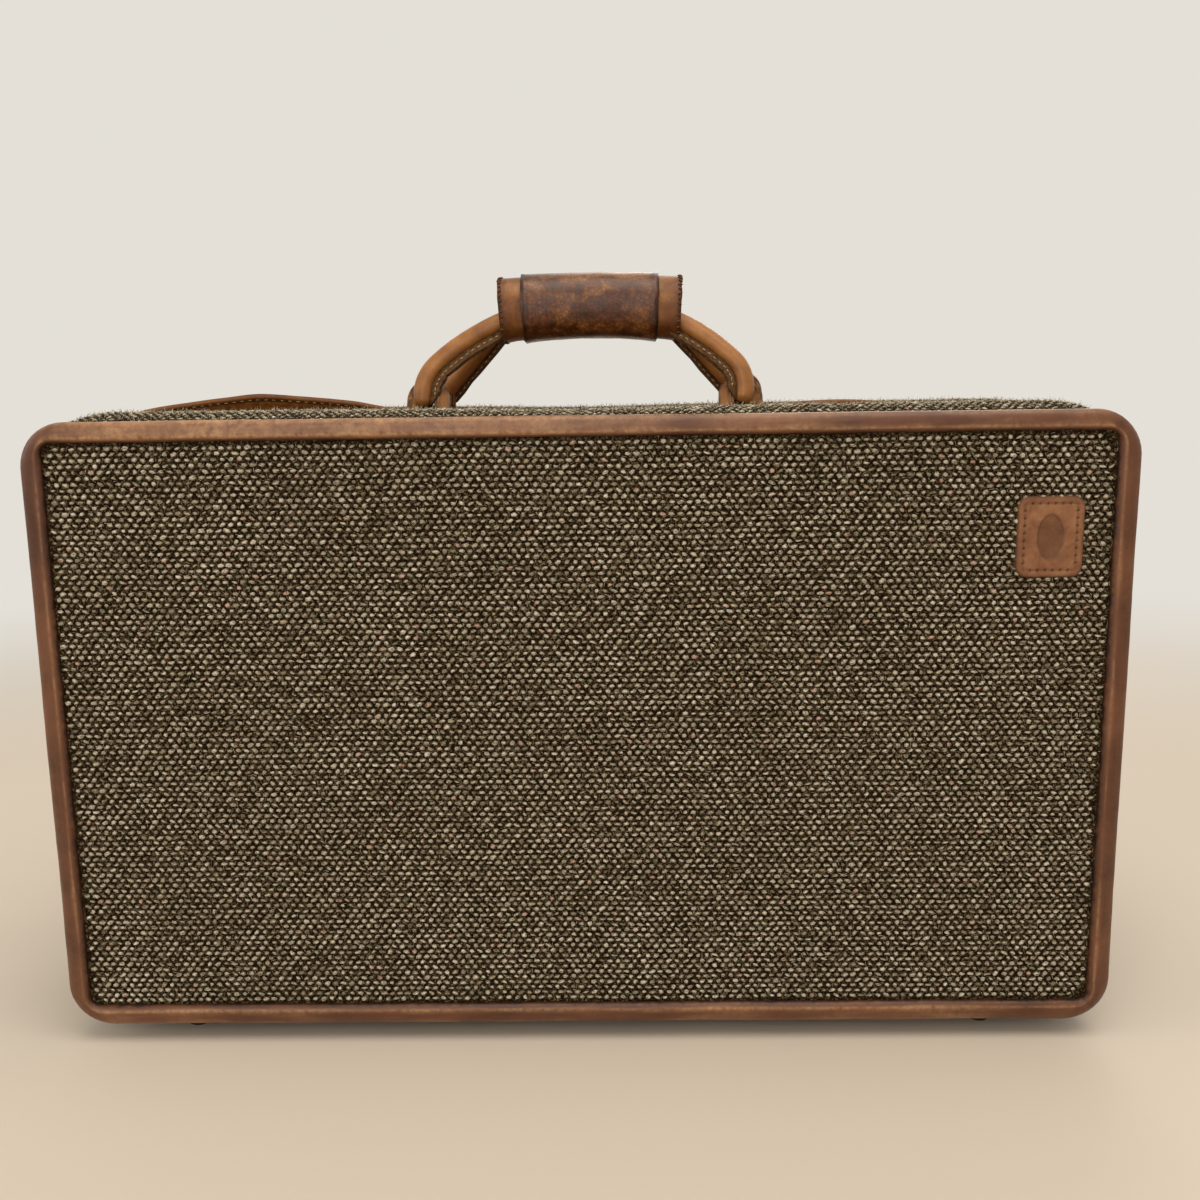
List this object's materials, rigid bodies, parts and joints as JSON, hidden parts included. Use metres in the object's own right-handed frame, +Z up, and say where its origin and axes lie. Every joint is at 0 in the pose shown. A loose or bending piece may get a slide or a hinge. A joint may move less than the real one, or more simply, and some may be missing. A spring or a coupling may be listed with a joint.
{
  "type": "suitcase",
  "caption": "Framed tweed suitcase with a rolled leather binding, a zip under a leather flap, a bottom-hinged lid and paired strap handles joined by a leather wrap.",
  "frame": {"origin": "on the floor, below the middle of the closed case", "axes": "+X along the case to the right as seen from the front, +Y from the front face to the back, +Z up"},
  "size_m": [0.62, 0.19, 0.455],
  "materials": {
    "wood": "raw",
    "tweed": "coarse weave",
    "binding_leather": "worn satin",
    "zip_cloth": "woven",
    "zip_metal": "aged",
    "lining_cloth": "woven",
    "handle_leather": "worn",
    "band_leather": "glossy from use",
    "steel": "satin",
    "foot_rubber": "matt",
    "padding": "felt",
    "webbing": "woven"
  },
  "bodies": {
    "rear_half": {"hinge_pin": "steel", "packing_straps": "webbing", "rear_binding": "binding_leather", "rear_feet": "foot_rubber", "rear_foot_screws": "steel", "rear_frame": "wood", "rear_gusset": "tweed", "rear_handle_arches": "handle_leather", "rear_handle_pins": "steel", "rear_handle_plates": "steel", "rear_handle_rivets": "steel", "rear_hinge_leaf": "steel", "rear_hinge_rivets": "steel", "rear_lining": "lining_cloth", "rear_mouth_trim": "binding_leather", "rear_panel": "wood", "rear_tweed_face": "tweed", "rear_zip_tape": "zip_cloth", "rear_zip_teeth": "zip_metal", "strap_buckles": "zip_metal"},
    "front_half": {"front_binding": "binding_leather", "front_feet": "foot_rubber", "front_foot_screws": "steel", "front_frame": "wood", "front_gusset": "tweed", "front_handle_arches": "handle_leather", "front_handle_pins": "steel", "front_handle_plates": "steel", "front_handle_rivets": "steel", "front_hinge_leaf": "steel", "front_hinge_rivets": "steel", "front_lining": "lining_cloth", "front_mouth_trim": "binding_leather", "front_panel": "wood", "front_patch": "handle_leather", "front_tweed_face": "tweed", "front_zip_tape": "zip_cloth", "front_zip_teeth": "zip_metal", "lid_pocket": "lining_cloth"},
    "front_handle": {"front_handle_strap": "handle_leather"},
    "rear_handle": {"rear_handle_strap": "handle_leather", "wrap_back": "handle_leather", "wrap_band_back": "band_leather", "wrap_pad": "padding"},
    "wrap_front": {"wrap_band_front": "band_leather", "wrap_flap": "handle_leather"},
    "zip_flap": {"zip_flap": "handle_leather"},
    "zip_pull_left": {"zip_pull_left": "zip_metal"},
    "zip_pull_right": {"zip_pull_right": "zip_metal"},
    "zip_slider_left": {"zip_slider_left": "zip_metal"},
    "zip_slider_right": {"zip_slider_right": "zip_metal"}
  },
  "joints": [
    {"name": "lid_hinge", "type": "hinge", "parent": "rear_half", "child": "front_half", "pos_m": [0, 0, 0.0144], "axis": [1, 0, 0], "range_deg": [0, 150]},
    {"name": "front_handle_hinge", "type": "hinge", "parent": "front_half", "child": "front_handle", "pos_m": [0.006, -0.018, 0.376], "axis": [1, 0, 0], "range_deg": [0, 70]},
    {"name": "rear_handle_hinge", "type": "hinge", "parent": "rear_half", "child": "rear_handle", "pos_m": [0.006, 0.018, 0.376], "axis": [1, 0, 0], "range_deg": [-70, 0]},
    {"name": "wrap_hinge", "type": "hinge", "parent": "rear_handle", "child": "wrap_front", "pos_m": [0.006, 0.014, 0.4495], "axis": [1, 0, 0], "range_deg": [-110, 0], "deforming": ["wrap_flap", "wrap_band_front"]},
    {"name": "zip_flap_hinge", "type": "hinge", "parent": "rear_half", "child": "zip_flap", "pos_m": [0, 0.011, 0.3694], "axis": [1, 0, 0], "range_deg": [-60, 0], "deforming": ["zip_flap"]},
    {"name": "zip_slider_left_slide", "type": "slide", "parent": "rear_half", "child": "zip_slider_left", "axis": [-1, 0, 0], "range_m": [0, 0.065]},
    {"name": "zip_slider_right_slide", "type": "slide", "parent": "rear_half", "child": "zip_slider_right", "axis": [1, 0, 0], "range_m": [0, 0.45]},
    {"name": "zip_pull_left_hinge", "type": "hinge", "parent": "zip_slider_left", "child": "zip_pull_left", "pos_m": [-0.209, 0, 0.3667], "axis": [0, 1, 0], "range_deg": [0, 110]},
    {"name": "zip_pull_right_hinge", "type": "hinge", "parent": "zip_slider_right", "child": "zip_pull_right", "pos_m": [-0.193, 0, 0.3667], "axis": [0, -1, 0], "range_deg": [0, 110]}
  ]
}
